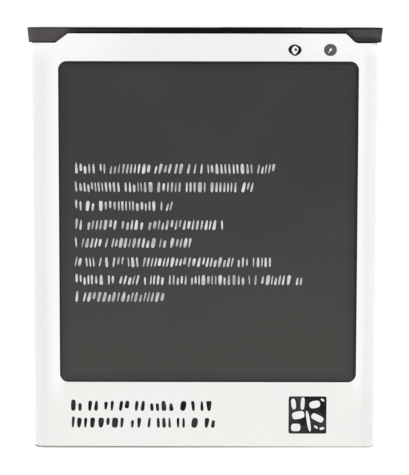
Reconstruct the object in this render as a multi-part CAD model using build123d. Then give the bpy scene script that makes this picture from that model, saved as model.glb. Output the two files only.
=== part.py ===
from build123d import *
import os

# A removable phone battery, lying on its back with its printed face up, in millimetres.
# X runs across the face, Y from the bottom end to the header, and Z up through the thickness.
# The origin is the middle of the body's outline, on the surface that the battery lies on.

# Body, over the wrap label
body_length = 61.74
body_width = 50.24
body_thickness = 5.2
edge_radius = 1.6

# Wrap label: one film folded round the cell, with a tab that reaches up over the header
film = 0.1
film_gap = 0.08
tab_margin = 0.85
tab_slope_left = 1.82
tab_slope_right = 1.40
tab_shift = 0.28
tab_top_radius = 0.3
tab_foot_radius_left = 0.6
tab_foot_radius_right = 1.1
seam_lap = 1.5
seam_taper = 0.25

# Dark field printed on the label's face
panel_side_margin = 3.37
panel_top_margin = 4.82
panel_bottom_margin = 9.87
panel_radius = 1.25
panel_shift = 0.5
ink = 0.02

# Header moulding
ear_height = 2.2
ear_length = 5.04
ear_overhang = 0.68
ear_draft = 0.22
end_edge_radius = 0.06
end_wall = 1.0
side_wall = 0.55
rib = 0.8
end_block = 1.5
pocket_length = 4.5
snap_depth = 0.16
snap_height = 0.35
snap_width = 1.6
snap_inset = 3.4

# Contact windows in the header's end face
contact_names = ["contact_positive", "contact_thermistor", "contact_identity", "contact_negative"]
contact_pitch = 3.0
contact_inset = 5.5
window_width = 2.0
window_height = 3.0
window_radius = 0.25
window_lead_in = 0.2
land_depth = 0.2
land_border = 0.45
contact_thickness = 0.4
contact_gap = 0.1
contact_bevel = 0.05

# Protection board and what is soldered to it
board_thickness = 0.7
board_gap = 0.1
board_corner_radius = 0.3
package_height = 0.9
package_draft = 0.12
ic_length = 2.9
ic_width = 1.6
ic_pins = 3
transistor_length = 4.4
transistor_width = 2.9
transistor_pins = 4
pin_reach = 0.35
pin_width = 0.3
pin_thickness = 0.15
resistor_size = (1.6, 0.8, 0.45)
capacitor_size = (1.0, 0.5, 0.5)
thermistor_size = (1.0, 0.5, 0.5)
resistor_count = 3
capacitor_count = 3
end_cap_length = 0.25
end_cap_lap = 0.03

# Nickel leads from the cell to the board
lead_thickness = 0.15
lead_bend = 0.1
lead_width = 2.5
lead_leg = 3.2
lead_inset = 0.9
clad_pad_length = 4.0
clad_pad_width = 3.0
clad_pad_thickness = 0.3

# Thermal cut-off, in the way of the negative lead
cutoff_length = 4.6
cutoff_width = 3.0
cutoff_height = 0.8
cutoff_bevel = 0.12
cutoff_tail_thickness = 0.12
cutoff_tail_width = 2.0
cutoff_to_gasket = 1.6
room_over_cutoff = 0.4

# Lid of the cell, and what is set in it
weld_inset = 0.3
weld_groove_width = 0.14
weld_groove_depth = 0.08
rivet_head_radius = 1.1
rivet_head_height = 0.35
rivet_shank_radius = 0.6
rivet_depth = 0.7
gasket_radius = 1.55
gasket_flange = 0.2
gasket_collar = 0.35
vent_length = 5.0
vent_width = 2.2
vent_groove = 0.2
vent_depth = 0.1
vent_to_gasket = 1.4
plug_radius = 0.6
plug_depth = 0.5
plug_head_radius = 0.85
plug_head_height = 0.14
can_floor_radius = 0.4

# Insulating paper on the lid
insulator_thickness = 0.12
insulator_border = 0.1
insulator_gap = 0.2

# Bottom cover and the adhesive tapes
cover_thickness = 0.7
cover_rim = 0.28
cover_edge_radius = 0.06
tape_thickness = 0.1
tape_inset = 0.3

# How far a cut runs past the faces that it opens
through = 1.0

# Levels along Y, worked out from both ends
end_y = body_length / 2
foot_y = -body_length / 2
shoulder_y = end_y - ear_height
ear_foot_y = shoulder_y + film_gap
tab_y = end_y - tab_margin
panel_top_y = end_y - panel_top_margin
panel_foot_y = foot_y + panel_bottom_margin
wrap_foot_y = foot_y + cover_rim
tape_foot_y = foot_y + cover_thickness
can_foot_y = tape_foot_y + tape_thickness
land_y = end_y - land_depth
board_outer_y = end_y - end_wall
board_inner_y = board_outer_y - board_thickness
cutoff_top_y = board_inner_y - package_height - room_over_cutoff
insulator_top_y = cutoff_top_y - cutoff_height
lid_y = insulator_top_y - insulator_thickness
cap_foot_y = lid_y + tape_thickness
gasket_top_y = lid_y + gasket_flange
rivet_top_y = gasket_top_y + rivet_head_height
rivet_foot_y = lid_y - rivet_depth
clad_top_y = lid_y + clad_pad_thickness

# Sizes and places across the body
mid_z = body_thickness / 2
can_width = body_width - 2 * film
can_thickness = body_thickness - 2 * film
can_radius = edge_radius - film
hollow_height = can_thickness - 2 * side_wall
pocket_x = can_width / 2 - end_block - pocket_length / 2
hollow_half = pocket_x - pocket_length / 2 - rib
board_length = 2 * (hollow_half - board_gap)
board_width = hollow_height - 2 * board_gap
vent_x = -gasket_radius - vent_to_gasket - vent_length / 2
positive_leg_x = -board_length / 2 + lead_inset + lead_leg / 2
negative_leg_x = board_length / 2 - lead_inset - lead_leg / 2


def section(width, thickness, radius):
    """Rounded section across the body, at mid thickness."""
    return Pos(0, mid_z) * RectangleRounded(width, thickness, radius)


def wrap_section():
    """Outline of the body over the label."""
    return section(body_width, body_thickness, edge_radius)


def can_section(inset=0.0):
    """Outline of the cell's can, or one drawn in from it all round."""
    return section(can_width - 2 * inset, can_thickness - 2 * inset, can_radius - inset)


def level(y):
    """Plane across the body at that Y, with X to the right and Z up."""
    return Plane.XZ.offset(-y)


def along_y(profile, low, high):
    """Solid with that profile between two levels of Y."""
    return extrude(level(high) * profile, amount=high - low)


def block(x, length, low, high, width):
    """Straight block about X, centred in the body's thickness, between two levels of Y."""
    return along_y(Pos(x, mid_z) * Rectangle(length, width), low, high)


def disc(x, radius):
    """Round plan on the lid."""
    return Pos(x, mid_z) * Circle(radius)


def vent_plan(border=0.0):
    """Round-ended plan of the vent on the lid, or one drawn out from it all round."""
    return Pos(vent_x, mid_z) * SlotOverall(vent_length + 2 * border, vent_width + 2 * border)


def turned(x, points):
    """Solid of revolution about a line along Y at X, from points of radius and level."""
    profile = make_face(Polyline(*[(x + radius, y) for radius, y in points], close=True))
    return Pos(0, 0, mid_z) * revolve(profile, Axis((x, 0, 0), (0, 1, 0)))


def label_outline(gap=0.0):
    """Plan of the film: full width up to the shoulders, then the tab between the ears."""
    side = body_width / 2 + ear_overhang + through
    shoulder = shoulder_y + gap
    top = tab_y + gap
    tab_top = body_width / 2 - ear_length + gap
    foot_left = tab_shift - tab_top - tab_slope_left
    foot_right = tab_shift + tab_top + tab_slope_right
    outline = make_face(Polyline(
        (-side, wrap_foot_y),
        (side, wrap_foot_y),
        (side, shoulder),
        (foot_right, shoulder),
        (tab_shift + tab_top, top),
        (tab_shift - tab_top, top),
        (foot_left, shoulder),
        (-side, shoulder),
        close=True,
    ))
    for foot, radius in ((foot_left, tab_foot_radius_left), (foot_right, tab_foot_radius_right)):
        outline = fillet(outline.vertices().sort_by_distance((foot, shoulder, 0))[0], radius)
    return fillet(outline.vertices().group_by(Axis.Y)[-1], tab_top_radius)


def label_prism(gap=0.0):
    """The film's plan, carried right through the thickness."""
    return Pos(0, 0, -through) * extrude(label_outline(gap), amount=body_thickness + 2 * through)


def make_label_panel():
    """Dark printed field, as a layer of ink let into the face of the film."""
    width = body_width - 2 * panel_side_margin
    field = RectangleRounded(width, panel_top_y - panel_foot_y, panel_radius)
    middle = Pos(panel_shift, (panel_top_y + panel_foot_y) / 2, body_thickness - ink)
    return middle * extrude(field, amount=ink)


def make_wrap_label():
    """Film tube round the can, with the lap of its seam on the left side."""
    tube = along_y(wrap_section() - can_section(), wrap_foot_y, end_y)
    side = -body_width / 2
    low = mid_z - seam_lap / 2
    high = mid_z + seam_lap / 2
    lap = make_face(Polyline(
        (side, low),
        (side - film, low),
        (side - film, high - seam_taper),
        (side, high),
        close=True,
    ))
    tube += along_y(lap, wrap_foot_y, shoulder_y)
    return (tube & label_prism()) - make_label_panel()


def contact_places():
    """X of each contact, from left to right: the last one is set in from the board's end."""
    last = board_length / 2 - contact_inset
    return [last - n * contact_pitch for n in reversed(range(len(contact_names)))]


def window(x, border=0.0):
    """Plan of one contact window, or one drawn out from it all round."""
    return Pos(x, mid_z) * RectangleRounded(
        window_width + 2 * border,
        window_height + 2 * border,
        window_radius + border,
    )


def contact_windows():
    """Opening and lead-in for each contact, inside one shallow land."""
    places = contact_places()
    land_length = places[-1] - places[0] + window_width + 2 * land_border
    land_width = window_height + 2 * land_border
    middle = (places[0] + places[-1]) / 2
    land = Pos(middle, mid_z) * RectangleRounded(land_length, land_width, window_radius)
    throat_y = land_y - window_lead_in
    cut = along_y(land, land_y, end_y + through)
    for x in places:
        cut += along_y(window(x), board_outer_y - through, throat_y)
        cut += loft([level(throat_y) * window(x), level(land_y) * window(x, window_lead_in)])
    return cut


def header_head():
    """Part of the header that shows: ears that widen towards the end face, and the strip between."""
    end_width = body_width + 2 * ear_overhang
    wide = section(end_width, body_thickness, edge_radius)
    narrow = section(end_width - 2 * ear_draft, body_thickness, edge_radius)
    head = loft([level(ear_foot_y) * narrow, level(end_y) * wide])
    head = fillet(head.faces().sort_by(Axis.Y)[-1].edges(), end_edge_radius)
    return head - label_prism(film_gap)


def header_hollow():
    """Plan of the room for the board, and of a moulding pocket behind each ear."""
    plan = Rectangle(2 * hollow_half, hollow_height)
    for x in (-pocket_x, pocket_x):
        plan += Pos(x, 0) * Rectangle(pocket_length, hollow_height)
    return Pos(0, mid_z) * plan


def snap_nub(x, side):
    """Wedge on a long wall that holds the board up against the end wall."""
    wall = mid_z + side * hollow_height / 2
    tip = wall - side * snap_depth
    wedge = make_face(Polyline(
        (board_inner_y, wall),
        (board_inner_y, tip),
        (board_inner_y - snap_height, wall),
        close=True,
    ))
    return Pos(x, 0, 0) * extrude(Plane.YZ * wedge, amount=snap_width / 2, both=True)


def make_header_cap():
    """Black moulded cap over the board, open towards the cell."""
    cap = along_y(can_section(), cap_foot_y, end_y - end_edge_radius) + header_head()
    cap -= along_y(header_hollow(), cap_foot_y - through, board_outer_y)
    cap -= contact_windows()
    nub_x = board_length / 2 - snap_inset
    for x in (-nub_x, nub_x):
        for side in (-1, 1):
            cap += snap_nub(x, side)
    return cap


def make_header_tape():
    """Die-cut adhesive frame between the cap's foot and the cell's lid."""
    return along_y(can_section(tape_inset) - header_hollow(), lid_y, cap_foot_y)


def make_bottom_cover():
    """Moulded end plate: a plug inside the film, and a rim flush with the film's face."""
    plug = along_y(can_section(), foot_y, tape_foot_y)
    rim = along_y(wrap_section(), foot_y, wrap_foot_y - film_gap)
    cover = rim + plug
    return fillet(cover.faces().sort_by(Axis.Y)[0].edges(), cover_edge_radius)


def make_bottom_tape():
    """Adhesive pad between the cover and the can's floor."""
    return along_y(can_section(can_floor_radius + tape_inset), tape_foot_y, can_foot_y)


def make_cell_can():
    """Sealed aluminium cell: drawn can, welded lid with its vent score, terminal hole and filling hole."""
    can = along_y(can_section(), can_foot_y, lid_y)
    can = fillet(can.faces().sort_by(Axis.Y)[0].edges(), can_floor_radius)
    cuts = [
        (can_section(weld_inset) - can_section(weld_inset + weld_groove_width), weld_groove_depth),
        (vent_plan() - vent_plan(-vent_groove), vent_depth),
        (disc(0, rivet_shank_radius + gasket_collar), rivet_depth),
        (disc(pocket_x, plug_radius), plug_depth),
    ]
    for plan, depth in cuts:
        can -= along_y(plan, lid_y - depth, lid_y + through)
    return can


def make_terminal_gasket():
    """Moulded ring that keeps the rivet off the lid."""
    collar = rivet_shank_radius + gasket_collar
    return turned(0, [
        (rivet_shank_radius, rivet_foot_y),
        (collar, rivet_foot_y),
        (collar, lid_y),
        (gasket_radius, lid_y),
        (gasket_radius, gasket_top_y),
        (rivet_shank_radius, gasket_top_y),
    ])


def make_negative_terminal():
    """Rivet through the lid: shank and flat head."""
    return turned(0, [
        (0, rivet_foot_y),
        (rivet_shank_radius, rivet_foot_y),
        (rivet_shank_radius, gasket_top_y),
        (rivet_head_radius, gasket_top_y),
        (rivet_head_radius, rivet_top_y),
        (0, rivet_top_y),
    ])


def make_fill_plug():
    """Sealing pin of the filling hole, with a low bevelled head."""
    plug_foot_y = lid_y - plug_depth
    head_top_y = lid_y + plug_head_height
    return turned(pocket_x, [
        (0, plug_foot_y),
        (plug_radius, plug_foot_y),
        (plug_radius, lid_y),
        (plug_head_radius, lid_y),
        (plug_head_radius - plug_head_height, head_top_y),
        (0, head_top_y),
    ])


def make_positive_pad():
    """Nickel-clad plate welded to the lid, for the positive lead."""
    return block(positive_leg_x, clad_pad_length, lid_y, clad_top_y, clad_pad_width)


def folded_lead(middle_x, outward, low_y):
    """Nickel strip folded into a C: a leg by the cell, an outer riser, and a leg under the board."""
    outer = middle_x + outward * lead_leg / 2
    inner = middle_x - outward * lead_leg / 2
    riser = outer - outward * lead_thickness
    outline = make_face(Polyline(
        (outer, low_y),
        (inner, low_y),
        (inner, low_y + lead_thickness),
        (riser, low_y + lead_thickness),
        (riser, board_inner_y - lead_thickness),
        (inner, board_inner_y - lead_thickness),
        (inner, board_inner_y),
        (outer, board_inner_y),
        close=True,
    ))
    for x, radius in ((riser, lead_bend), (outer, lead_bend + lead_thickness)):
        corners = [v for v in outline.vertices() if abs(v.X - x) < lead_bend / 2]
        outline = fillet(corners, radius)
    return Pos(0, 0, mid_z) * extrude(outline, amount=lead_width / 2, both=True)


def make_positive_lead():
    """Lead from the clad pad to the board."""
    return folded_lead(positive_leg_x, -1, clad_top_y)


def make_negative_lead():
    """Lead from the thermal cut-off's outer tail to the board."""
    return folded_lead(negative_leg_x, 1, rivet_top_y + cutoff_tail_thickness)


def make_thermal_cutoff():
    """Cut-off body on the insulator, with a flat tail to the rivet and one under the negative lead."""
    body_x = gasket_radius + cutoff_to_gasket + cutoff_length / 2
    body = block(body_x, cutoff_length, insulator_top_y, cutoff_top_y, cutoff_width)
    body = chamfer(body.edges().filter_by(Axis.Y), cutoff_bevel)
    tail_start = -rivet_head_radius
    tail_end = negative_leg_x + lead_leg / 2 - lead_thickness - lead_bend
    tail_x = (tail_start + tail_end) / 2
    tail_top_y = rivet_top_y + cutoff_tail_thickness
    return body + block(tail_x, tail_end - tail_start, rivet_top_y, tail_top_y, cutoff_tail_width)


def make_lid_insulator():
    """Adhesive insulating paper on the lid, cut out for the gasket, the clad pad and the vent."""
    sheet = Rectangle(2 * (hollow_half - insulator_border), hollow_height - 2 * insulator_border)
    pad_cut = Rectangle(clad_pad_length + 2 * insulator_gap, clad_pad_width + 2 * insulator_gap)
    plan = Pos(0, mid_z) * sheet
    plan -= disc(0, gasket_radius + insulator_gap)
    plan -= vent_plan(insulator_gap)
    plan -= Pos(positive_leg_x, mid_z) * pad_cut
    return along_y(plan, lid_y, insulator_top_y)


def make_circuit_board():
    """Protection board, standing across the header behind the end wall."""
    board = block(0, board_length, board_inner_y, board_outer_y, board_width)
    return fillet(board.edges().filter_by(Axis.Y), board_corner_radius)


def make_contact(x):
    """Gold-plated block on the board, standing up in its window."""
    contact = along_y(window(x, -contact_gap), board_outer_y, board_outer_y + contact_thickness)
    return chamfer(contact.faces().sort_by(Axis.Y)[-1].edges(), contact_bevel)


def package(x, length, width, pins):
    """Moulded chip under the board: drafted body, with flat pins out of both long sides."""
    foot = Pos(x, mid_z) * Rectangle(length, width)
    face = Pos(x, mid_z) * Rectangle(length - 2 * package_draft, width - 2 * package_draft)
    body = loft([level(board_inner_y - package_height) * face, level(board_inner_y) * foot])
    for n in range(pins):
        pin_x = x + ((n + 0.5) / pins - 0.5) * length
        body += block(pin_x, pin_width, board_inner_y - pin_thickness, board_inner_y, width + 2 * pin_reach)
    return body


def chip(x, size):
    """Two-ended chip under the board: a ceramic middle, with end caps that lap over it."""
    length, width, height = size
    low_y = board_inner_y - height
    body = block(x, length - end_cap_length, low_y + end_cap_lap, board_inner_y, width - 2 * end_cap_lap)
    for side in (-1, 1):
        cap_x = x + side * (length - end_cap_length) / 2
        body += block(cap_x, end_cap_length, low_y, board_inner_y, width)
    return body


def board_places():
    """X of each soldered part by its kind, evenly spaced between the two leads."""
    kinds = [
        ("thermistor", 1, thermistor_size[0]),
        ("resistors", resistor_count, resistor_size[0]),
        ("ic", 1, ic_length),
        ("transistor", 1, transistor_length),
        ("capacitors", capacitor_count, capacitor_size[0]),
    ]
    free = negative_leg_x - positive_leg_x - lead_leg - sum(count * length for _, count, length in kinds)
    spacing = free / (1 + sum(count for _, count, _ in kinds))
    places = {}
    start = positive_leg_x + lead_leg / 2 + spacing
    for kind, count, length in kinds:
        places[kind] = [start + length / 2 + n * (length + spacing) for n in range(count)]
        start += count * (length + spacing)
    return places


def make_parts():
    """Every piece of the battery by its node name."""
    at = board_places()
    ic_x, = at["ic"]
    transistor_x, = at["transistor"]
    thermistor_x, = at["thermistor"]
    parts = {
        "cell_can": make_cell_can(),
        "terminal_gasket": make_terminal_gasket(),
        "negative_terminal": make_negative_terminal(),
        "fill_plug": make_fill_plug(),
        "positive_pad": make_positive_pad(),
        "lid_insulator": make_lid_insulator(),
        "thermal_cutoff": make_thermal_cutoff(),
        "positive_lead": make_positive_lead(),
        "negative_lead": make_negative_lead(),
        "circuit_board": make_circuit_board(),
        "protection_ic": package(ic_x, ic_length, ic_width, ic_pins),
        "switch_transistor": package(transistor_x, transistor_length, transistor_width, transistor_pins),
        "thermistor": chip(thermistor_x, thermistor_size),
        "chip_resistors": Compound([chip(x, resistor_size) for x in at["resistors"]]),
        "chip_capacitors": Compound([chip(x, capacitor_size) for x in at["capacitors"]]),
        "header_cap": make_header_cap(),
        "header_tape": make_header_tape(),
        "bottom_cover": make_bottom_cover(),
        "bottom_tape": make_bottom_tape(),
        "wrap_label": make_wrap_label(),
        "label_panel": make_label_panel(),
    }
    for name, x in zip(contact_names, contact_places()):
        parts[name] = make_contact(x)
    return parts


os.makedirs("parts", exist_ok=True)
for node, solid in make_parts().items():
    export_step(solid, f"parts/{node}.step")
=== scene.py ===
import math

import bpy
import numpy as np
from bpy.props import FloatProperty, FloatVectorProperty, IntProperty, PointerProperty
from mathutils import Matrix, Vector


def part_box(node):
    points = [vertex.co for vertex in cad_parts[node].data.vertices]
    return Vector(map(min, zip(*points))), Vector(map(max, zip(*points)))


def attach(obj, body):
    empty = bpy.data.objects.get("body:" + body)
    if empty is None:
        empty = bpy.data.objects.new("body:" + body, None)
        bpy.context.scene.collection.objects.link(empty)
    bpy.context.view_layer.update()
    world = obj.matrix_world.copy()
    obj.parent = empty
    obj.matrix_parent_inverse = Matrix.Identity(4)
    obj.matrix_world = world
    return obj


bl_info = {
    "name": "Phone battery dressing",
    "version": (1, 0, 0),
    "blender": (4, 5, 0),
    "location": "3D View > Sidebar > Battery",
    "description": "Prints, finishes and lights a removable phone battery that comes from a packed CAD model",
    "category": "Object",
}

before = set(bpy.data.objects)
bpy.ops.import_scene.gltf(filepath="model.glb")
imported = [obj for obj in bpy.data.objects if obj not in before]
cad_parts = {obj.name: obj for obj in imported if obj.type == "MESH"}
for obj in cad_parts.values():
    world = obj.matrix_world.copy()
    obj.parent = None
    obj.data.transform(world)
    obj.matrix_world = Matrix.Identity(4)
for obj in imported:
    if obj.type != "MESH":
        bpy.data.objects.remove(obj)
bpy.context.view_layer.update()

MM = 0.001
INK_SINK = 0.004 * MM
FLOOR_DROP = 0.02 * MM
face_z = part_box("label_panel")[1].z
end_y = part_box("header_cap")[1].y

# In millimetres, as the finishes count: middle and half width of the dark field, middle of the header's
# strip, middle of the contacts' height, both ends of the cut-off's body, and pitch of the board's weave
FIELD_MIDDLE = 0.5
FIELD_HALF = 21.75
HEADER_MIDDLE = 0.28
CONTACT_MIDDLE = 2.6
CUTOFF_BODY = (3.15, 7.75)
WEAVE_PITCH = 0.42

# Rows of small print on the dark field: right end and foot, in millimetres. They all start at one margin.
SMALL_PRINT = [
    (10.18, 9.72), (7.00, 7.03), (-4.78, 4.28), (2.65, 1.50),
    (-2.01, -1.14), (9.67, -3.97), (14.22, -6.59), (-5.96, -9.11),
]

# Rows of bold marks on the white film: left end, right end and foot, in millimetres
BOLD_PRINT = [(-19.66, 1.10, -25.32), (-19.60, 1.52, -27.84)]

# Most marks in a row, points round one, the first one's height in row heights, and what the bold rows add to
# the seed
MOST_MARKS = 120
MARK_POINTS = 28
FIRST_MARK = 1.12
BOLD_SEED = 40

# Chance in a row: share of marks that end a group, gap after a group and after a mark in mean gaps, and
# ranges of lean in radians, squareness and taper
GROUP_ENDS = 0.16
GROUP_GAP = (2.2, 3.0)
MARK_GAP = (0.8, 1.2)
MARK_LEAN = (-0.26, 0.10)
MARK_SQUARENESS = (2.8, 4.5)
MARK_TAPER = (-0.35, 0.35)

# Kinds of printed stroke: how often, least and greatest width in mean strokes, foot and top in row heights
STROKES = [
    (0.54, 0.80, 1.40, 0.00, 1.00),
    (0.18, 1.60, 2.20, 0.00, 1.00),
    (0.12, 1.00, 1.60, 0.00, 0.76),
    (0.07, 1.00, 1.60, 0.26, 1.00),
    (0.09, 1.10, 1.70, 0.12, 0.90),
]

# Middles of the block pattern and of the ring, in millimetres, the block's squareness and points round it
BLOCK_MIDDLE = (15.17, -25.90)
RING_MIDDLE = (12.98, 27.69)
BLOCK_SQUARENESS = 26.0
BLOCK_POINTS = 192

# Pale cells of the block pattern: place across and up its square, half width, half height, squareness, lean
BLOCK_CELLS = [
    (-2.06, 1.66, 0.34, 0.80, 2.6, 0.12),
    (-0.72, 1.72, 0.28, 0.92, 3.0, -0.06),
    (-1.36, -0.02, 0.90, 0.56, 3.2, 0.20),
    (-1.72, -1.86, 0.68, 0.56, 3.4, 0.00),
    (0.14, -0.92, 0.24, 1.60, 2.4, 0.16),
    (1.06, 1.58, 0.80, 0.54, 2.8, 0.22),
    (2.20, 2.26, 0.28, 0.16, 2.4, -0.60),
    (1.46, -0.42, 0.94, 0.46, 3.4, -0.48),
    (1.26, -1.80, 0.34, 0.15, 2.2, -0.70),
    (2.14, -2.02, 0.36, 0.20, 2.4, 0.20),
]

# Dot of the ring, disc, and pale centre of the disc, in the same order of values
RING_DOT = [(13.10, 27.74, 0.17, 0.21, 2.0, 0.3)]
DISC = [(18.10, 27.70, 0.93, 0.87, 2.1, 0.0)]
DISC_CENTRE = [(18.12, 27.72, 0.17, 0.26, 1.6, -0.5), (17.86, 27.36, 0.05, 0.17, 2.0, -0.7)]

# Soldered chips: node, how many, length and tinned end in millimetres
CHIPS = [("thermistor", 1, 1.0, 0.25), ("chip_resistors", 3, 1.6, 0.25), ("chip_capacitors", 3, 1.0, 0.25)]

# Soft lamps: name, turn about the battery from its right side, and lean from straight above, in degrees
LAMPS = [("left", 180, 52), ("right", 0, 52), ("front", 270, 46), ("back", 90, 56)]


def length_setting(name, description, value, least=0.0):
    """Property that holds a small length, given in millimetres."""
    return FloatProperty(
        name=name, description=description, default=value * MM, min=least * MM, unit="LENGTH", precision=6,
    )


def colour_setting(name, description, value):
    """Property that holds a colour."""
    return FloatVectorProperty(
        name=name, description=description, default=value, min=0.0, max=1.0, subtype="COLOR",
    )


class BATTERY_PG_print(bpy.types.PropertyGroup):
    """Sizes and colours of what is printed on the film."""
    margin: length_setting(
        "Left margin", "Where the rows of small print start, across the face", -18.9, -30.0,
    )
    row_height: length_setting("Row height", "Height of a mark in the small print", 1.48)
    bold_height: length_setting("Bold row height", "Height of a mark in the bold rows", 1.50)
    stroke: length_setting("Stroke width", "Mean width of a stroke in the small print", 0.265)
    bold_stroke: length_setting("Bold stroke width", "Mean width of a stroke in the bold rows", 0.44)
    gap: length_setting("Gap", "Mean distance between two marks in the small print", 0.26)
    bold_gap: length_setting("Bold gap", "Mean distance between two marks in the bold rows", 0.32)
    ink: length_setting("Ink thickness", "How far a printed mark stands off the film", 0.008)
    seed: IntProperty(
        name="Seed", description="Which set of marks the rows are filled with", default=7, min=0,
    )
    block_size: length_setting("Block size", "Side of the square block pattern", 5.58)
    pale: colour_setting(
        "Pale ink", "Colour of the small print and of the block pattern's cells", (0.72, 0.72, 0.70),
    )
    dark: colour_setting(
        "Dark ink", "Colour of the bold rows, the block pattern and the ring", (0.004, 0.004, 0.004),
    )
    grey: colour_setting("Grey ink", "Colour of the round disc mark", (0.085, 0.080, 0.078))


class BATTERY_PG_finish(bpy.types.PropertyGroup):
    """Colours of the battery's own surfaces."""
    film_cool: colour_setting(
        "Film, header end", "White of the film near the header", (0.800, 0.812, 0.812),
    )
    film_warm: colour_setting(
        "Film, bottom end", "White of the film near the bottom end", (0.800, 0.800, 0.772),
    )
    # Painted light: the film is drawn in this brighter white beside the dark field and below the ears
    film_painted_light: colour_setting(
        "Film, bright", "White of the film beside the dark field and below the ears", (0.885, 0.892, 0.884),
    )
    # Painted sheen: the field is drawn lighter from its header end to its bottom end
    field_top: colour_setting(
        "Field, header end", "Dark field's colour near the header", (0.030, 0.030, 0.028),
    )
    field_foot: colour_setting(
        "Field, bottom end", "Dark field's colour near the bottom end", (0.050, 0.047, 0.042),
    )
    # Painted light: the ears' top is drawn lighter than the same plastic on the header's end, sides and back,
    # and the right ear darker than the left as painted shade
    ear: colour_setting("Header ears", "Satin plastic of the header's two ears", (0.0755, 0.067, 0.067))
    ear_right_shaded: colour_setting(
        "Header ear, right", "The same plastic at the right ear, which is a little darker",
        (0.063, 0.059, 0.056),
    )
    header_end: colour_setting(
        "Header end", "Satin plastic of the header's end face, sides and back", (0.036, 0.033, 0.033),
    )
    strip: colour_setting(
        "Header strip", "Smoother plastic of the header beside the ears", (0.030, 0.0293, 0.0293),
    )
    strip_middle: colour_setting(
        "Header strip, middle", "The same plastic halfway between the ears, which is darker",
        (0.0062, 0.0060, 0.0060),
    )
    # Painted light: the cover's rim is drawn darker at the left and lighter at the right, by how the light
    # falls
    cover_shaded_left: colour_setting(
        "Cover, left", "Grey of the bottom cover's rim at its left end", (0.34, 0.34, 0.32),
    )
    cover_lit_right: colour_setting(
        "Cover, right", "Grey of the bottom cover's rim at its right end", (0.70, 0.70, 0.68),
    )
    gold: colour_setting("Contact gold", "Plating of the contacts", (0.86, 0.62, 0.25))
    board: colour_setting("Board", "Solder mask of the protection board", (0.02, 0.12, 0.05))
    can: colour_setting("Can", "Drawn aluminium of the cell", (0.72, 0.72, 0.73))


class BATTERY_PG_stage(bpy.types.PropertyGroup):
    """Sizes and strengths of the floor, the lights and the camera."""
    floor_radius: FloatProperty(
        name="Floor radius", description="Radius of the round pale floor",
        default=0.7, min=0.1, unit="LENGTH",
    )
    floor_glow: FloatProperty(
        name="Floor glow", description="Light that the floor gives off, which keeps its shadows faint",
        default=0.45, min=0.0,
    )
    tent: FloatProperty(
        name="Tent strength", description="Strength of the pale tent round the stage",
        default=0.96, min=0.0,
    )
    lamp_power: FloatProperty(
        name="Lamp power", description="Power of each of the four soft lamps",
        default=0.96, min=0.0, unit="POWER",
    )
    lamp_size: FloatProperty(
        name="Lamp size", description="Side of each soft lamp",
        default=0.5, min=0.01, unit="LENGTH",
    )
    lamp_distance: FloatProperty(
        name="Lamp distance", description="Distance of each soft lamp from the battery",
        default=0.7, min=0.1, unit="LENGTH",
    )
    camera_distance: FloatProperty(
        name="Camera distance", description="From the camera to the point on the face that it looks at",
        default=0.310, min=0.05, unit="LENGTH",
    )
    camera_tilt: FloatProperty(
        name="Camera tilt", description="How far the camera leans from straight above towards the header",
        default=math.radians(6.76), subtype="ANGLE",
    )
    camera_roll: FloatProperty(
        name="Camera roll", description="Turn of the camera about its own axis",
        default=math.radians(0.091), subtype="ANGLE",
    )
    camera_target: FloatVectorProperty(
        name="Camera target", description="Point on the battery's length and width that the camera looks at",
        default=(-0.042 * MM, 0.412 * MM), size=2, unit="LENGTH", precision=6,
    )
    lens: FloatProperty(
        name="Focal length", description="Focal length of the camera on a 36 mm sensor, in millimetres",
        default=161.07, min=10.0, unit="CAMERA",
    )


def closed_shells(points, capped):
    """Corners and faces of closed shells.

    The points lie on a grid of shells, rows and places round each row. Each place joins the next one round
    its row and the same one in the next row. Capped shells have a face over their first and last rows, and
    the others join their last row to their first.
    """
    shells, rows, places = points.shape[:3]
    index = np.arange(shells * rows * places).reshape(shells, rows, places)
    if not capped:
        index = np.concatenate([index, index[:, :1]], axis=1)
    index = np.concatenate([index, index[:, :, :1]], axis=2)
    faces = np.stack([index[:, :-1, :-1], index[:, :-1, 1:], index[:, 1:, 1:], index[:, 1:, :-1]], axis=-1)
    faces = faces.reshape(-1, 4).tolist()
    if capped:
        faces += index[:, 0, -2::-1].tolist()
        faces += index[:, -1, :-1].tolist()
    return points.reshape(-1, 3), faces


def ring_ribbon(path, half_width, foot, top):
    """Flat ribbon of ink along a closed path on the face, as a closed shell.

    At each point of the path the ribbon's section is a rectangle that reaches half_width to either side of
    the path, square to its direction, and from foot to top through the thickness.
    """
    along = np.roll(path, -1, axis=1) - np.roll(path, 1, axis=1)
    along = along / np.linalg.norm(along, axis=-1, keepdims=True)
    left = np.stack([-along[..., 1], along[..., 0]], axis=-1) * half_width[..., None]
    side = np.array([1.0, 1.0, -1.0, -1.0])
    level = np.array([foot, top, top, foot])
    plan = path[:, :, None, :] + left[:, :, None, :] * side[:, None]
    height = np.broadcast_to(level[:, None], plan.shape[:3] + (1,))
    return closed_shells(np.concatenate([plan, height], axis=-1), capped=False)


def plates(outlines, foot, top, bevel):
    """Flat plates of ink with the given outlines, as closed shells.

    An outline is carried straight up from foot to a bevel below top, and drawn in by the bevel over the rest.
    """
    middle = outlines.mean(axis=1, keepdims=True)
    reach = np.linalg.norm(outlines - middle, axis=-1, keepdims=True)
    inner = middle + (outlines - middle) * (1.0 - bevel / reach)
    plan = np.stack([outlines, outlines, inner], axis=1)
    height = np.broadcast_to(np.array([foot, top - bevel, top])[:, None, None], plan.shape[:3] + (1,))
    return closed_shells(np.concatenate([plan, height], axis=-1), capped=True)


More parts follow.
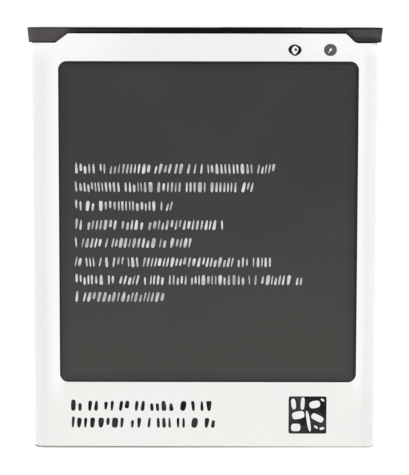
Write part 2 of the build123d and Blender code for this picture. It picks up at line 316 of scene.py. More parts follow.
def rounded_outlines(cells, around=64, taper=0.0):
    """Outlines of superellipses, one for each row of: x, y, half width, half height, squareness and lean.

    At each angle, the cosine over the half width and the sine over the half height are raised to the power of
    the squareness and added, and the radius is one over that root of the sum. A tapered outline narrows by
    that share from one end to the middle, and again to the other end. It is then turned by the lean.
    """
    x, y, half_width, half_height, power, lean = np.array(cells, float).T[:, :, None]
    angle = np.linspace(0.0, 2 * np.pi, around, endpoint=False)[None, :]
    shape = np.abs(np.cos(angle) / half_width) ** power + np.abs(np.sin(angle) / half_height) ** power
    radius = shape ** (-1.0 / power)
    up = radius * np.sin(angle)
    across = radius * np.cos(angle) * (1.0 + taper * up / half_height) / (1.0 + np.abs(taper))
    return np.stack([
        x + across * np.cos(lean) - up * np.sin(lean),
        y + across * np.sin(lean) + up * np.cos(lean),
    ], axis=-1)


def row_of_marks(start, end, foot, height, stroke, gap, seed):
    """Outlines of the strokes in one printed row, which stand for words and spell nothing.

    Chance fills the row with single wedge-shaped strokes of the kinds in STROKES. They keep a gap from each
    other, wider between two groups, and are fitted to the row's length. The strokes of a group lean alike.
    """
    chance = np.random.default_rng(seed)
    shares, least, most, low, high = np.array(STROKES).T
    kind = chance.choice(len(STROKES), MOST_MARKS, p=shares)
    width = stroke * chance.uniform(least[kind], most[kind])
    last = chance.random(MOST_MARKS) < GROUP_ENDS
    wide, narrow = chance.uniform(*GROUP_GAP, MOST_MARKS), chance.uniform(*MARK_GAP, MOST_MARKS)
    space = gap * np.where(last, wide, narrow)
    lean = chance.uniform(*MARK_LEAN, MOST_MARKS)[np.cumsum(last) - last]
    low, high = height * low[kind], height * high[kind]
    high[0] = height * FIRST_MARK
    reach = np.cumsum(width + space) - space
    count = int(np.searchsorted(reach, end - start))
    fit = (end - start) / reach[count - 1]
    squareness = chance.uniform(*MARK_SQUARENESS, MOST_MARKS)
    cells = [start + fit * (reach - width / 2), foot + (low + high) / 2, fit * width / 2, (high - low) / 2]
    taper = chance.uniform(*MARK_TAPER, (MOST_MARKS, 1))
    cells = np.stack([*cells, squareness, lean], axis=1)
    return rounded_outlines(cells[:count], MARK_POINTS, taper[:count])


def make_object(name, surface, material):
    """New object with a mesh of those corners and faces, in that finish."""
    corners, faces = surface
    mesh = bpy.data.meshes.new(name)
    mesh.from_pydata(corners.tolist(), [], faces)
    mesh.materials.append(material)
    made = bpy.data.objects.new(name, mesh)
    bpy.context.scene.collection.objects.link(made)
    return made


def add_piece(name, shells, material):
    """Puts shells into one piece that rides on the battery."""
    piece = make_object(name, shells, material)
    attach(piece, "root")


def dress(nodes, material):
    """Gives CAD nodes their finish."""
    for node in nodes:
        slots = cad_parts[node].data.materials
        slots.clear()
        slots.append(material)


def put(tree, socket, value):
    """Sets an input to a value or a colour of three parts, or joins it to another node's output."""
    if isinstance(value, bpy.types.NodeSocket):
        tree.links.new(value, socket)
    else:
        socket.default_value = (*value, 1.0) if socket.type == "RGBA" else value


def add(tree, kind, inputs=None, **settings):
    """Adds one shader node. Inputs are set by name or number, to a value or to another node's output."""
    node = tree.nodes.new(kind)
    for name, value in settings.items():
        setattr(node, name, value)
    for key, value in (inputs or {}).items():
        put(tree, node.inputs[key], value)
    return node


def calc(tree, operation, *values):
    """Result of a sum on numbers or outputs."""
    return add(tree, "ShaderNodeMath", dict(enumerate(values)), operation=operation).outputs[0]


def plus(tree, first, second):
    """Both values together."""
    return calc(tree, "ADD", first, second)


def less(tree, first, second):
    """First value less the second."""
    return calc(tree, "SUBTRACT", first, second)


def times(tree, first, second):
    """First value times the second."""
    return calc(tree, "MULTIPLY", first, second)


def larger(tree, first, second):
    """The larger of two values."""
    return calc(tree, "MAXIMUM", first, second)


def away(tree, value, middle):
    """Distance of a value from a middle."""
    return calc(tree, "ABSOLUTE", less(tree, value, middle))


def ramp(tree, value, start, end, low=0.0, high=1.0):
    """Smooth step of a value from low at start to high at end."""
    return add(
        tree, "ShaderNodeMapRange", {0: value, 1: start, 2: end, 3: low, 4: high},
        interpolation_type="SMOOTHSTEP",
    ).outputs[0]


def blend(tree, share, first, second):
    """Colour between two colours or outputs, by a share."""
    return add(tree, "ShaderNodeMix", {0: share, 6: first, 7: second}, data_type="RGBA").outputs[2]


def between(tree, share, first, second):
    """Value between two values or outputs, by a share."""
    return add(tree, "ShaderNodeMix", {0: share, 2: first, 3: second}, data_type="FLOAT").outputs[0]


def noise(tree, place, scale, detail, stretch=None):
    """Noise at that many waves a millimetre, drawn out by stretch along each axis."""
    if stretch is not None:
        place = add(tree, "ShaderNodeVectorMath", {0: place, 1: stretch}, operation="MULTIPLY").outputs[0]
    return add(tree, "ShaderNodeTexNoise", {"Vector": place, "Scale": scale, "Detail": detail}).outputs[0]


def parts_of(tree, vector):
    """X, Y and Z of a vector."""
    return add(tree, "ShaderNodeSeparateXYZ", {0: vector}).outputs


def spread(tree, tone, low, high):
    """Value between two numbers, by a tone from 0 to 1."""
    return plus(tree, times(tree, tone, high - low), low)


def new_group(name, inputs, outputs):
    """Empty shader node group with named sockets: the group, what it is given and what it puts out."""
    group = bpy.data.node_groups.new(name, "ShaderNodeTree")
    for socket, kind, default in inputs:
        made = group.interface.new_socket(name=socket, in_out="INPUT", socket_type=kind)
        if default is not None:
            made.default_value = default
    for socket, kind in outputs:
        group.interface.new_socket(name=socket, in_out="OUTPUT", socket_type=kind)
    return group, group.nodes.new("NodeGroupInput").outputs, group.nodes.new("NodeGroupOutput").inputs


def fine_grain(name):
    """Fine uneven surface: a noise at the grain's size, with a finer one over it."""
    group, given, result = new_group(
        name,
        [("Place", "NodeSocketVector", None), ("Waves per mm", "NodeSocketFloat", 4.0)],
        [("Height", "NodeSocketFloat"), ("Tone", "NodeSocketFloat")],
    )
    coarse = noise(group, given["Place"], given["Waves per mm"], 2.0)
    fine = noise(group, given["Place"], times(group, given["Waves per mm"], 3.1), 1.0)
    height = plus(group, times(group, coarse, 0.65), times(group, fine, 0.35))
    put(group, result["Height"], height)
    put(group, result["Tone"], ramp(group, height, 0.36, 0.64))


def colour_drift(name):
    """Slow change of shade over a surface, between two colours."""
    group, given, result = new_group(
        name,
        [
            ("Place", "NodeSocketVector", None),
            ("Waves per mm", "NodeSocketFloat", 0.1),
            ("First", "NodeSocketColor", (1.0, 1.0, 1.0, 1.0)),
            ("Second", "NodeSocketColor", (0.9, 0.9, 0.9, 1.0)),
        ],
        [("Color", "NodeSocketColor"), ("Share", "NodeSocketFloat")],
    )
    share = ramp(group, noise(group, given["Place"], given["Waves per mm"], 3.0), 0.3, 0.7)
    put(group, result["Share"], share)
    put(group, result["Color"], blend(group, share, given["First"], given["Second"]))


def drawn_lines(name):
    """Lines that drawing or rolling leaves on metal: noise drawn out along one axis, at two widths."""
    group, given, result = new_group(
        name,
        [
            ("Place", "NodeSocketVector", None),
            ("Stretch", "NodeSocketVector", (1.0, 1.0, 1.0)),
            ("Waves per mm", "NodeSocketFloat", 6.0),
        ],
        [("Height", "NodeSocketFloat"), ("Tone", "NodeSocketFloat")],
    )
    place, stretch, waves = given["Place"], given["Stretch"], given["Waves per mm"]
    wide = noise(group, place, waves, 2.0, stretch)
    narrow = noise(group, place, times(group, waves, 3.7), 1.0, stretch)
    height = plus(group, times(group, wide, 0.55), times(group, narrow, 0.45))
    put(group, result["Height"], height)
    put(group, result["Tone"], ramp(group, height, 0.38, 0.62))


def handling_scuffs(name):
    """Hairline scuffs from handling: thin bands of a drawn-out noise, kept where a slower noise is high."""
    group, given, result = new_group(
        name,
        [("Place", "NodeSocketVector", None), ("Spread", "NodeSocketFloat", 0.5)],
        [("Mask", "NodeSocketFloat")],
    )
    lines = []
    for turn, stretch in ((0.5, (5.0, 0.16, 1.0)), (-0.9, (4.0, 0.12, 1.0))):
        turned = add(
            group, "ShaderNodeVectorRotate", {"Vector": given["Place"], "Angle": turn},
            rotation_type="Z_AXIS",
        ).outputs[0]
        streak = noise(group, turned, 1.0, 1.0, stretch)
        lines.append(ramp(group, away(group, streak, 0.5), 0.012, 0.0))
    patch = noise(group, given["Place"], 0.11, 2.0)
    kept = ramp(group, plus(group, patch, times(group, given["Spread"], 0.2)), 0.55, 0.75)
    put(group, result["Mask"], times(group, larger(group, *lines), kept))


# Effects that the finishes share, by the names that they are asked for
EFFECTS = {
    "fine grain": fine_grain,
    "colour drift": colour_drift,
    "drawn lines": drawn_lines,
    "handling scuffs": handling_scuffs,
}


def use(tree, effect, **inputs):
    """Places a shared effect in a material, with its own values. Underscores stand for spaces."""
    name = f"battery {effect}"
    if name not in bpy.data.node_groups:
        EFFECTS[effect](name)
    inputs = {socket.replace("_", " "): value for socket, value in inputs.items()}
    return add(tree, "ShaderNodeGroup", inputs, node_tree=bpy.data.node_groups[name]).outputs


def start_finish(name, **sockets):
    """New material: itself, its tree, its shader with those values, and the place in millimetres."""
    material = bpy.data.materials.new(name)
    material.use_nodes = True
    tree = material.node_tree
    shader = tree.nodes["Principled BSDF"]
    for socket, value in sockets.items():
        put(tree, shader.inputs[socket.replace("_", " ")], value)
    spot = add(tree, "ShaderNodeTexCoord").outputs["Object"]
    place = add(tree, "ShaderNodeVectorMath", {0: spot, 1: (1 / MM,) * 3}, operation="MULTIPLY").outputs[0]
    return material, tree, shader, place


def wear(tree, shader, colour, roughness, height, depth, under=None):
    """Joins colour, roughness and relief to a material's shader. Depth is the relief's, in millimetres."""
    put(tree, shader.inputs["Base Color"], colour)
    if roughness is not None:
        put(tree, shader.inputs["Roughness"], roughness)
    relief = {"Height": height, "Distance": depth * MM, "Strength": 1.0}
    if under is not None:
        relief["Normal"] = under
    put(tree, shader.inputs["Normal"], add(tree, "ShaderNodeBump", relief).outputs[0])


def film_finish(colours):
    """White satin film: cool at the header, warm at the foot, with painted light beside the dark field and
    below the ears, and painted shade over the long edges and on the sides.
    """
    material, tree, shader, place = start_finish("white satin film", Specular_IOR_Level=0.45)
    x, y, z = parts_of(tree, place)
    across = calc(tree, "ABSOLUTE", x)
    below_ear = ramp(tree, y, 26.2, 28.2)
    slow = use(tree, "colour drift", Place=place, Waves_per_mm=0.07)
    share = plus(tree, ramp(tree, y, 24.0, -26.0, 0.0, 0.75), times(tree, slow["Share"], 0.25))
    white = blend(tree, share, colours.film_cool, colours.film_warm)

    # Painted light: brighter beside the dark field, towards the right, and below the ears, where it lightens
    # the shadow that the ears cast
    beside = less(tree, away(tree, x, FIELD_MIDDLE), FIELD_HALF)
    near = times(tree, ramp(tree, beside, 2.4, 0.3), ramp(tree, beside, -0.8, -0.2, 0.0, 0.8))
    near = larger(tree, near, ramp(tree, x, 18.0, 23.0, 0.0, 0.4))
    near = times(tree, near, ramp(tree, y, -25.0, -20.5))
    corner = times(tree, ramp(tree, across, 8.0, 19.0), ramp(tree, y, 24.0, 27.0))
    corner = times(tree, corner, spread(tree, below_ear, 0.5, 0.8))
    white = blend(tree, larger(tree, near, corner), white, colours.film_painted_light)

    # Painted shade: greyer over the long edges and on the sides, which turn away from the light
    painted_side_shade = plus(tree, ramp(tree, across, 22.4, 24.0, 0.0, 0.14), ramp(tree, across, 23.8, 25.1, 0.0, 0.18))
    painted_side_shade = times(tree, painted_side_shade, ramp(tree, z, 2.6, 4.4))
    painted_side_shade = times(tree, painted_side_shade, spread(tree, below_ear, 1.0, 0.35))
    white = blend(tree, painted_side_shade, white, (0.50, 0.51, 0.51))
    side = times(tree, ramp(tree, across, 24.9, 25.1), ramp(tree, z, 4.3, 3.5, 0.0, 0.85))
    white = blend(tree, side, white, (0.57, 0.58, 0.58))

    # Both edges of the lap on the left side
    upper, lower = ramp(tree, away(tree, z, 3.35), 0.07, 0.01), ramp(tree, away(tree, z, 1.85), 0.10, 0.02)
    seam = times(tree, larger(tree, lower, upper), ramp(tree, x, -25.02, -25.08))
    white = blend(tree, times(tree, seam, 0.55), white, (0.42, 0.41, 0.38))

    # Grain and scuffs, over the film's slack from place to place
    grain = use(tree, "fine grain", Place=place, Waves_per_mm=3.2)
    scuffs = use(tree, "handling scuffs", Place=place, Spread=0.2)["Mask"]
    white = blend(tree, times(tree, scuffs, 0.10), white, (0.60, 0.60, 0.58))
    rough = plus(tree, spread(tree, grain["Tone"], 0.36, 0.46), times(tree, scuffs, 0.12))
    wave = noise(tree, place, 0.16, 2.0)
    slack = add(tree, "ShaderNodeBump", {"Height": wave, "Distance": 0.030 * MM, "Strength": 1.0}).outputs[0]
    wear(tree, shader, white, rough, grain["Height"], 0.0016, slack)
    return material


def field_finish(colours):
    """Dark warm grey print: a painted sheen makes it lighter towards the foot, with a darker rim and a fine
    screen of ink.
    """
    material, tree, shader, place = start_finish("dark printed field", Specular_IOR_Level=0.40)
    x, y, _ = parts_of(tree, place)
    # Painted sheen: lighter towards the foot, as a soft light reflected there
    slow = use(tree, "colour drift", Place=place, Waves_per_mm=0.09)
    share = plus(tree, ramp(tree, y, 14.0, -20.0, 0.0, 0.85), times(tree, slow["Share"], 0.15))
    dark = blend(tree, share, colours.field_top, colours.field_foot)
    screen = use(tree, "fine grain", Place=place, Waves_per_mm=5.5)
    dark = blend(tree, times(tree, screen["Tone"], 0.16), dark, (0.016, 0.016, 0.016))

    # Darker rim, by the distance in from the nearest edge, and wider at the header side and the right
    low, high = (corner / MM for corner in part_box("label_panel"))
    side = less(tree, (high.x - low.x) / 2, away(tree, x, (high.x + low.x) / 2))
    end = less(tree, (high.y - low.y) / 2, away(tree, y, (high.y + low.y) / 2))
    inset = calc(tree, "MINIMUM", side, end)
    rim = larger(tree, ramp(tree, inset, 0.40, 0.20), ramp(tree, inset, 2.2, 0.0, 0.0, 0.34))
    strong = calc(tree, "MINIMUM", less(tree, high.x, x), less(tree, high.y, y))
    rim = larger(tree, rim, ramp(tree, strong, 0.62, 0.36))
    dark = blend(tree, times(tree, rim, 0.92), dark, (0.006, 0.006, 0.006))

    scuffs = use(tree, "handling scuffs", Place=place, Spread=0.3)["Mask"]
    dark = blend(tree, times(tree, scuffs, 0.08), dark, (0.20, 0.20, 0.19))
    rough = plus(tree, spread(tree, screen["Tone"], 0.40, 0.50), times(tree, scuffs, 0.12))
    wear(tree, shader, dark, rough, screen["Height"], 0.0020)
    return material


def header_finish(colours):
    """Moulded black plastic: satin ears painted lighter where they look up, the right one painted darker, a
    darker strip between them, painted dark edges, even black elsewhere.
    """
    material, tree, shader, place = start_finish("moulded header", Specular_IOR_Level=0.08)
    x, y, _ = parts_of(tree, place)
    top = end_y / MM
    out = away(tree, x, HEADER_MIDDLE)
    ear = ramp(tree, out, 18.4, 20.8)
    # Painted light: faces that look up take the ears' and the strip's colours and the others the header end's
    # even colour, so the ears' top is lit lighter than their sides
    face = ramp(tree, parts_of(tree, add(tree, "ShaderNodeTexCoord").outputs["Normal"])[2], 0.1, 0.5)
    right = ramp(tree, x, -8.0, 20.0)
    grain = use(tree, "fine grain", Place=place, Waves_per_mm=4.5)
    slow = use(tree, "colour drift", Place=place, Waves_per_mm=0.35)
    # Painted light: the ears' colour is the plastic lit from above, and the right ear's darker colour is
    # painted shade
    satin = blend(tree, right, colours.ear, colours.ear_right_shaded)
    satin = blend(tree, times(tree, slow["Share"], 0.18), satin, (0.040, 0.036, 0.036))
    satin = blend(tree, times(tree, grain["Tone"], 0.15), satin, (0.10, 0.094, 0.092))

    # Shade on the ears: along their inner slopes, and low and at the outer corner on the right one
    slope = times(tree, less(tree, top - 0.85, y), spread(tree, right, 1.35, 1.04))
    beside = less(tree, less(tree, out, 20.08), slope)
    shaded = times(tree, ramp(tree, beside, 1.4, 0.1), spread(tree, right, 0.35, 0.75))
    low = times(tree, ramp(tree, y, top - 1.12, top - 1.6), times(tree, right, 0.6))
    rim = times(tree, ramp(tree, x, 24.5, 25.6, 0.0, 0.6), ramp(tree, y, top - 1.2, top - 0.5))
    shaded = larger(tree, shaded, larger(tree, low, rim))
    satin = blend(tree, shaded, satin, (0.012, 0.011, 0.011))
    strip = blend(tree, ramp(tree, out, 5.5, 19.0), colours.strip_middle, colours.strip)
    shade = blend(tree, face, colours.header_end, blend(tree, ear, strip, satin))

    # Painted shade: black lines along the crest, where the rounded edge turns away from the light, and
    # painted shadow along the strip's foot and the ears' foot, in the gap at the film's edge
    crest = ramp(tree, y, top - 0.28, top - 0.14)
    lines = larger(tree, ramp(tree, y, top - 0.52, top - 0.66), crest)
    foot = times(tree, ramp(tree, y, top - 1.90, top - 2.02), spread(tree, right, 0.70, 1.0))
    crest = times(tree, crest, spread(tree, right, 0.30, 0.95))
    edge_shade = between(tree, ear, lines, larger(tree, foot, crest))
    shade = blend(tree, times(tree, edge_shade, face), shade, (0.001, 0.001, 0.001))
    rough = plus(tree, spread(tree, ear, 0.34, 0.50), times(tree, grain["Tone"], 0.08))
    wear(tree, shader, shade, rough, grain["Height"], 0.006)
    return material


def cover_finish(colours):
    """Grey moulded end cover with a fine grain, painted lighter to the right where its rim catches the light.
    """
    material, tree, shader, place = start_finish("grey end cover", Specular_IOR_Level=0.4)
    grain = use(tree, "fine grain", Place=place, Waves_per_mm=4.0)
    # Painted light: paler to the right, where the rim catches the light
    share = ramp(tree, parts_of(tree, place)[0], -14.0, 24.0)
    grey = blend(tree, share, colours.cover_shaded_left, colours.cover_lit_right)
    grey = blend(tree, times(tree, grain["Tone"], 0.10), grey, (0.22, 0.22, 0.21))
    wear(tree, shader, grey, spread(tree, grain["Tone"], 0.46, 0.56), grain["Height"], 0.005)
    return material


def gold_finish(colours):
    """Gold plating, polished along the thickness, with rub marks where a spring contact slides."""
    material, tree, shader, place = start_finish("contact gold", Metallic=1.0)
    lines = use(tree, "drawn lines", Place=place, Stretch=(4.0, 1.0, 0.35), Waves_per_mm=5.0)
    slow = use(
        tree, "colour drift", Place=place, Waves_per_mm=1.2, First=colours.gold, Second=(0.78, 0.50, 0.18),
    )
    off = away(tree, parts_of(tree, place)[2], CONTACT_MIDDLE)
    rub = times(tree, ramp(tree, off, 1.1, 0.5), lines["Tone"])
    shade = blend(tree, times(tree, rub, 0.25), slow["Color"], (0.92, 0.78, 0.50))
    wear(tree, shader, shade, spread(tree, rub, 0.24, 0.40), lines["Height"], 0.0015)
    return material


def board_finish(colours):
    """Green solder mask over woven glass: two crossed waves show faintly as relief and shade."""
    material, tree, shader, place = start_finish("board solder mask", Roughness=0.28, Coat_Weight=0.4)
    x, _, z = parts_of(tree, place)
    turns = 2 * math.pi / WEAVE_PITCH
    weave = times(tree, calc(tree, "SINE", times(tree, x, turns)), calc(tree, "SINE", times(tree, z, turns)))
    weave = spread(tree, weave, 0.5, 1.0)
    slow = use(
        tree, "colour drift", Place=place, Waves_per_mm=0.4, First=colours.board, Second=(0.015, 0.09, 0.04),
    )
    shade = blend(tree, times(tree, weave, 0.18), slow["Color"], (0.05, 0.20, 0.08))
    wear(tree, shader, shade, None, weave, 0.006)
    return material


def moulded_finish(name, first, second, waves, rough, depth=0.004, **sockets):
    """Plain moulded or pressed material: two shades that drift, and a grain in shade, gloss and relief."""
    material, tree, shader, place = start_finish(name, **sockets)
    grain = use(tree, "fine grain", Place=place, Waves_per_mm=waves)
    slow = use(tree, "colour drift", Place=place, Waves_per_mm=waves / 6, First=first, Second=second)
    shade = blend(tree, times(tree, grain["Tone"], 0.22), slow["Color"], second)
    wear(tree, shader, shade, spread(tree, grain["Tone"], rough - 0.05, rough + 0.06), grain["Height"], depth)
    return material


def metal_finish(name, first, second, stretch, waves, rough, depth=0.002):
    """Drawn or rolled metal: lines along one axis in shade, gloss and relief, over a slow drift of shade."""
    material, tree, shader, place = start_finish(name, Metallic=1.0)
    lines = use(tree, "drawn lines", Place=place, Stretch=stretch, Waves_per_mm=waves)
    slow = use(tree, "colour drift", Place=place, Waves_per_mm=0.25, First=first, Second=second)
    shade = blend(tree, times(tree, lines["Tone"], 0.30), slow["Color"], second)
    wear(tree, shader, shade, spread(tree, lines["Tone"], rough - 0.06, rough + 0.08), lines["Height"], depth)
    return material


def chip_finish(node, count, length, cap):
    """Fired ceramic chip with tinned ends: bands at each chip's start and end along the board."""
    material, tree, shader, place = start_finish(node.replace("_", " ") + " finish")
    low, high = (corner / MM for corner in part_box(node))
    along = less(tree, parts_of(tree, place)[0], low.x)
    if count > 1:
        along = calc(tree, "MODULO", along, (high.x - low.x - length) / (count - 1))
    start = length / 2 - cap
    tin = ramp(tree, away(tree, along, length / 2), start - 0.01, start + 0.01)
    grain = use(tree, "fine grain", Place=place, Waves_per_mm=9.0)
    clay = blend(tree, grain["Tone"], (0.36, 0.26, 0.18), (0.28, 0.20, 0.14))
    put(tree, shader.inputs["Metallic"], tin)
    shade = blend(tree, tin, clay, (0.70, 0.69, 0.67))
    wear(tree, shader, shade, spread(tree, tin, 0.55, 0.30), grain["Height"], 0.003)
    return material


def cutoff_finish():
    """Thermal cut-off: black moulded body, with bright nickel tails beyond its ends."""
    material, tree, shader, place = start_finish("cut-off body and tails")
    x = parts_of(tree, place)[0]
    start, end = CUTOFF_BODY
    tail = larger(tree, ramp(tree, x, start + 0.03, start - 0.03), ramp(tree, x, end - 0.03, end + 0.03))
    grain = use(tree, "fine grain", Place=place, Waves_per_mm=5.0)
    lines = use(tree, "drawn lines", Place=place, Stretch=(0.2, 1.0, 3.0), Waves_per_mm=4.0)
    body = blend(tree, grain["Tone"], (0.018, 0.018, 0.018), (0.030, 0.030, 0.029))
    nickel = blend(tree, lines["Tone"], (0.62, 0.59, 0.54), (0.50, 0.48, 0.44))
    put(tree, shader.inputs["Metallic"], tail)
    shade = blend(tree, tail, body, nickel)
    wear(tree, shader, shade, spread(tree, tail, 0.52, 0.30), grain["Height"], 0.003)
    return material


def ink_finish(name, colour, faded):
    """Printed ink: a little thinner and paler in places, with a fine uneven gloss."""
    material, tree, shader, place = start_finish(name, Specular_IOR_Level=0.08)
    grain = use(tree, "fine grain", Place=place, Waves_per_mm=4.0)
    slow = use(tree, "colour drift", Place=place, Waves_per_mm=0.5, First=colour, Second=faded)
    shade = blend(tree, times(tree, grain["Tone"], 0.20), slow["Color"], faded)
    wear(tree, shader, shade, spread(tree, grain["Tone"], 0.42, 0.55), grain["Height"], 0.001)
    return material


def ink_levels(settings, layers=1):
    """Foot and top of a layer of ink: it starts a little under the film's face, so nothing hangs."""
    return face_z - INK_SINK, face_z + layers * settings.ink


def print_plates(name, outlines, settings, ink, layers=1):
    """Prints plates of ink as one piece. A second layer reaches through the first."""
    foot, top = ink_levels(settings, layers)
    add_piece(name, plates(outlines, foot, top, settings.ink / 2), ink)


def print_rows(name, rows, sizes, seed, settings, ink):
    """Prints rows of marks, each one piece. The sizes are a mark's height, mean stroke and mean gap."""
    for number, (start, end, foot) in enumerate(rows):
        outlines = row_of_marks(start, end * MM, foot * MM, *sizes, seed + number)
        print_plates(f"{name}_{number + 1}", outlines, settings, ink)


class BATTERY_OT_film(bpy.types.Operator):
    """Finishes the white film and the dark field printed on it"""
    bl_idname = "battery.film"
    bl_label = "Film and dark field"

    def execute(self, context):
        colours = context.scene.battery_finish
        dress(["wrap_label"], film_finish(colours))
        dress(["label_panel"], field_finish(colours))
        return {"FINISHED"}


class BATTERY_OT_header(bpy.types.Operator):
    """Finishes the header, the bottom cover and the gold contacts"""
    bl_idname = "battery.header"
    bl_label = "Header, cover and contacts"

    def execute(self, context):
        colours = context.scene.battery_finish
        dress(["header_cap"], header_finish(colours))
        dress(["bottom_cover"], cover_finish(colours))
        gold = gold_finish(colours)
        dress([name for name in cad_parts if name.startswith("contact_")], gold)
        return {"FINISHED"}


class BATTERY_OT_board(bpy.types.Operator):
    """Finishes the protection board, what is soldered to it, and its nickel leads"""
    bl_idname = "battery.board"
    bl_label = "Board, chips and leads"

    def execute(self, context):
        dress(["circuit_board"], board_finish(context.scene.battery_finish))
        resin = moulded_finish("chip resin", (0.020, 0.020, 0.021), (0.032, 0.031, 0.030), 7.0, 0.50)
        dress(["protection_ic", "switch_transistor"], resin)
        for node, *sizes in CHIPS:
            dress([node], chip_finish(node, *sizes))
        nickel = metal_finish(
            "rolled nickel", (0.66, 0.63, 0.58), (0.54, 0.51, 0.47), (0.15, 1.0, 3.0), 4.0, 0.30,
        )
        dress(["positive_lead", "negative_lead", "positive_pad"], nickel)
        dress(["thermal_cutoff"], cutoff_finish())
        return {"FINISHED"}


class BATTERY_OT_cell(bpy.types.Operator):
    """Finishes the cell's can, what is set in its lid, the paper and the adhesive tapes"""
    bl_idname = "battery.cell"
    bl_label = "Cell, lid and tapes"

    def execute(self, context):
        colours = context.scene.battery_finish
        drawn = metal_finish(
            "drawn aluminium", colours.can, (0.60, 0.60, 0.61), (3.0, 0.10, 3.0), 3.0, 0.36, depth=0.003,
        )
        dress(["cell_can"], drawn)
        turned = metal_finish(
            "plated terminal", (0.70, 0.70, 0.69), (0.58, 0.58, 0.57), (2.0, 0.4, 2.0), 6.0, 0.28,
        )
        dress(["negative_terminal", "fill_plug"], turned)
        natural = moulded_finish(
            "natural gasket", (0.74, 0.73, 0.68), (0.66, 0.65, 0.60), 5.0, 0.42, Subsurface_Weight=0.15,
        )
        dress(["terminal_gasket"], natural)
        paper = moulded_finish(
            "insulating paper", (0.66, 0.60, 0.47), (0.56, 0.50, 0.38), 6.0, 0.78, depth=0.010,
        )
        dress(["lid_insulator"], paper)
        tape = moulded_finish(
            "adhesive tape", (0.78, 0.77, 0.73), (0.68, 0.67, 0.62), 2.5, 0.48, Coat_Weight=0.2,
        )
        dress(["header_tape", "bottom_tape"], tape)
        return {"FINISHED"}


class BATTERY_OT_small_print(bpy.types.Operator):
    """Prints the rows of small pale marks on the dark field"""
    bl_idname = "battery.small_print"
    bl_label = "Small print"

    def execute(self, context):
        settings = context.scene.battery_print
        pale = ink_finish("pale ink", settings.pale, (0.36, 0.36, 0.35))
        rows = [(settings.margin, end, foot) for end, foot in SMALL_PRINT]
        sizes = (settings.row_height, settings.stroke, settings.gap)
        print_rows("small_print_row", rows, sizes, settings.seed, settings, pale)
        return {"FINISHED"}


class BATTERY_OT_bold_print(bpy.types.Operator):
    """Prints the rows of bold dark marks on the white film"""
    bl_idname = "battery.bold_print"
    bl_label = "Bold rows"

    def execute(self, context):
        settings = context.scene.battery_print
        dark = ink_finish("dark ink", settings.dark, (0.036, 0.035, 0.034))
        rows = [(start * MM, end, foot) for start, end, foot in BOLD_PRINT]
        sizes = (settings.bold_height, settings.bold_stroke, settings.bold_gap)
        print_rows("bold_print_row", rows, sizes, settings.seed + BOLD_SEED, settings, dark)
        return {"FINISHED"}


class BATTERY_OT_block_pattern(bpy.types.Operator):
    """Prints the square block pattern: a dark square with pale rounded cells over it"""
    bl_idname = "battery.block_pattern"
    bl_label = "Block pattern"

    def execute(self, context):
        settings = context.scene.battery_print
        half = settings.block_size / 2 / MM
        square = rounded_outlines([(*BLOCK_MIDDLE, half, half, BLOCK_SQUARENESS, 0.0)], BLOCK_POINTS) * MM
        dark = ink_finish("dark block ink", settings.dark, (0.042, 0.042, 0.040))
        print_plates("block_square", square, settings, dark)
        cells = [(x + BLOCK_MIDDLE[0], y + BLOCK_MIDDLE[1], *shape) for x, y, *shape in BLOCK_CELLS]
        pale = ink_finish("pale block ink", (0.82, 0.82, 0.80), (0.76, 0.76, 0.74))
        print_plates("block_cells", rounded_outlines(cells) * MM, settings, pale, 2)
        return {"FINISHED"}


class BATTERY_OT_round_marks(bpy.types.Operator):
    """Prints the two round marks beside the header: a ring with a dot, and a disc with a pale centre"""
    bl_idname = "battery.round_marks"
    bl_label = "Round marks"

    def execute(self, context):
        settings = context.scene.battery_print
        dark = ink_finish("dark ring ink", settings.dark, (0.018, 0.017, 0.016))
        # The ring's radius waves four times and three times round, and its half width twice
        angle = np.linspace(0.0, 2 * np.pi, 96, endpoint=False)[None, :]
        radius = (0.69 + 0.03 * np.cos(4 * angle) + 0.02 * np.sin(3 * angle)) * MM
        x, y = RING_MIDDLE
        path = np.stack([x * MM + radius * np.cos(angle), y * MM + radius * np.sin(angle)], axis=-1)
        half_width = (0.178 + 0.065 * np.cos(2 * (angle + 0.15))) * MM
        add_piece("ring_mark", ring_ribbon(path, half_width, *ink_levels(settings)), dark)
        print_plates("ring_mark_dot", rounded_outlines(RING_DOT) * MM, settings, dark)
        grey = ink_finish("grey disc ink", settings.grey, (0.13, 0.12, 0.118))
        print_plates("disc_mark", rounded_outlines(DISC) * MM, settings, grey)
        pale = ink_finish("pale disc centre", (0.80, 0.80, 0.79), (0.70, 0.70, 0.69))
        print_plates("disc_mark_centre", rounded_outlines(DISC_CENTRE) * MM, settings, pale, 2)
        return {"FINISHED"}


def floor_sheet(radius, rings=48, around=128):
    """Round floor as a grid of radius and angle, a little under the battery's back.

    With the distance counted as a share of the radius, it is flat up to a half, and past that it rises very
    slightly, by a fifth of the cube of what is over.
    """
    share = np.linspace(0.0, 1.0, rings + 1)[1:, None]
    angle = np.linspace(0.0, 2 * np.pi, around, endpoint=False)[None, :]
    rise = np.clip(share - 0.5, 0.0, None) ** 3 * 0.2
    level = rise - FLOOR_DROP + 0.0 * angle
    points = np.stack([radius * share * np.cos(angle), radius * share * np.sin(angle), level], axis=-1)
    index = np.arange(rings * around).reshape(rings, around)
    index = np.concatenate([index, index[:, :1]], axis=1)
    faces = np.stack([index[:-1, :-1], index[1:, :-1], index[1:, 1:], index[:-1, 1:]], axis=-1)
    return points.reshape(-1, 3), [index[0, :-1].tolist()] + faces.reshape(-1, 4).tolist()


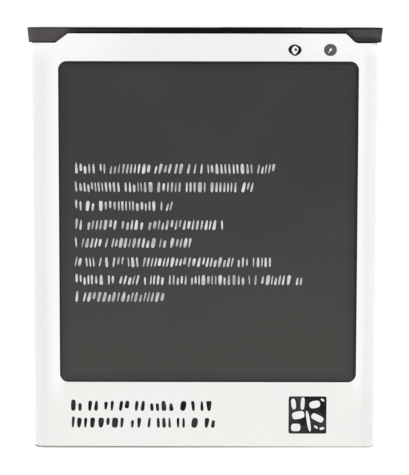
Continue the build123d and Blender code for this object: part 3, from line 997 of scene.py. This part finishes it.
def floor_finish(glow):
    """Pale seamless paper: a faint mottle, and a little light of its own."""
    material, tree, shader, place = start_finish("pale floor", Roughness=0.9, Specular_IOR_Level=0.1)
    slow = use(
        tree, "colour drift", Place=place, Waves_per_mm=0.01,
        First=(0.95, 0.95, 0.95), Second=(0.93, 0.93, 0.935),
    )
    put(tree, shader.inputs["Base Color"], slow["Color"])
    put(tree, shader.inputs["Emission Color"], (1.0, 1.0, 1.0))
    put(tree, shader.inputs["Emission Strength"], glow)
    return material


def aim(place, target):
    """Matrix that stands at a place and looks at a target, upright along +Y."""
    back = (place - target).normalized()
    right = Vector((0.0, 1.0, 0.0)).cross(back)
    if right.length < 1e-6:
        right = Vector((1.0, 0.0, 0.0))
    right.normalize()
    turn = Matrix((right, back.cross(right), back)).transposed().to_4x4()
    return Matrix.Translation(place) @ turn


class BATTERY_OT_stage(bpy.types.Operator):
    """Builds the pale floor, the tent, the soft lamps and the camera"""
    bl_idname = "battery.stage"
    bl_label = "Stage"

    def execute(self, context):
        settings = context.scene.battery_stage
        floor = make_object("floor", floor_sheet(settings.floor_radius), floor_finish(settings.floor_glow))

        world = bpy.data.worlds.new("pale tent")
        world.use_nodes = True
        tree = world.node_tree
        up = parts_of(tree, add(tree, "ShaderNodeTexCoord").outputs["Generated"])[2]
        wall = blend(tree, ramp(tree, up, 0.55, 0.97), (1.0, 1.0, 1.0), (0.30, 0.30, 0.31))
        put(tree, tree.nodes["Background"].inputs["Color"], wall)
        put(tree, tree.nodes["Background"].inputs["Strength"], settings.tent)
        context.scene.world = world

        middle = Vector((0.0, 0.0, face_z / 2))
        for name, turn, lean in LAMPS:
            lamp = bpy.data.lights.new(f"{name} lamp", "AREA")
            lamp.energy = settings.lamp_power
            lamp.size = settings.lamp_size
            turn, lean = math.radians(turn), math.radians(lean)
            out = Vector((math.cos(turn) * math.sin(lean), math.sin(turn) * math.sin(lean), math.cos(lean)))
            stand = bpy.data.objects.new(f"{name} lamp", lamp)
            stand.matrix_world = aim(middle + out * settings.lamp_distance, middle)
            context.scene.collection.objects.link(stand)

        target = Vector((*settings.camera_target, face_z))
        tilt = settings.camera_tilt
        place = target + Vector((0.0, math.sin(tilt), math.cos(tilt))) * settings.camera_distance
        lens = bpy.data.cameras.new("camera")
        lens.lens = settings.lens
        lens.sensor_width = 36.0
        lens.clip_start, lens.clip_end = 0.01, 10.0
        camera = bpy.data.objects.new("camera", lens)
        camera.matrix_world = aim(place, target) @ Matrix.Rotation(settings.camera_roll, 4, "Z")
        context.scene.collection.objects.link(camera)
        context.scene.camera = camera
        context.scene.view_settings.view_transform = "Standard"
        return {"FINISHED"}


class BATTERY_PT_sidebar(bpy.types.Panel):
    """Lists the steps that dress the battery, and their sizes and colours"""
    bl_idname = "BATTERY_PT_sidebar"
    bl_label = "Phone battery"
    bl_space_type = "VIEW_3D"
    bl_region_type = "UI"
    bl_category = "Battery"

    def draw(self, context):
        layout = self.layout
        for step in STEPS:
            layout.operator(step.bl_idname)
        for title, group in (("Print", "print"), ("Colours", "finish"), ("Stage", "stage")):
            box = layout.box()
            box.label(text=title)
            settings = getattr(context.scene, f"battery_{group}")
            for name in settings.__annotations__:
                box.prop(settings, name)


STEPS = [
    BATTERY_OT_film,
    BATTERY_OT_header,
    BATTERY_OT_board,
    BATTERY_OT_cell,
    BATTERY_OT_small_print,
    BATTERY_OT_bold_print,
    BATTERY_OT_block_pattern,
    BATTERY_OT_round_marks,
    BATTERY_OT_stage,
]
GROUPS = {"print": BATTERY_PG_print, "finish": BATTERY_PG_finish, "stage": BATTERY_PG_stage}


def register():
    """Registers the classes, and gives the scene their settings."""
    for made in [*GROUPS.values(), *STEPS, BATTERY_PT_sidebar]:
        bpy.utils.register_class(made)
    for name, group in GROUPS.items():
        setattr(bpy.types.Scene, f"battery_{name}", PointerProperty(type=group))


def unregister():
    """Takes the settings and the classes out again."""
    for name in GROUPS:
        delattr(bpy.types.Scene, f"battery_{name}")
    for made in reversed([*GROUPS.values(), *STEPS, BATTERY_PT_sidebar]):
        bpy.utils.unregister_class(made)


def main():
    register()
    bpy.ops.battery.film()
    bpy.ops.battery.header()
    bpy.ops.battery.board()
    bpy.ops.battery.cell()
    bpy.ops.battery.small_print()
    bpy.ops.battery.bold_print()
    bpy.ops.battery.block_pattern()
    bpy.ops.battery.round_marks()
    bpy.ops.battery.stage()


if __name__ == "__main__":
    main()
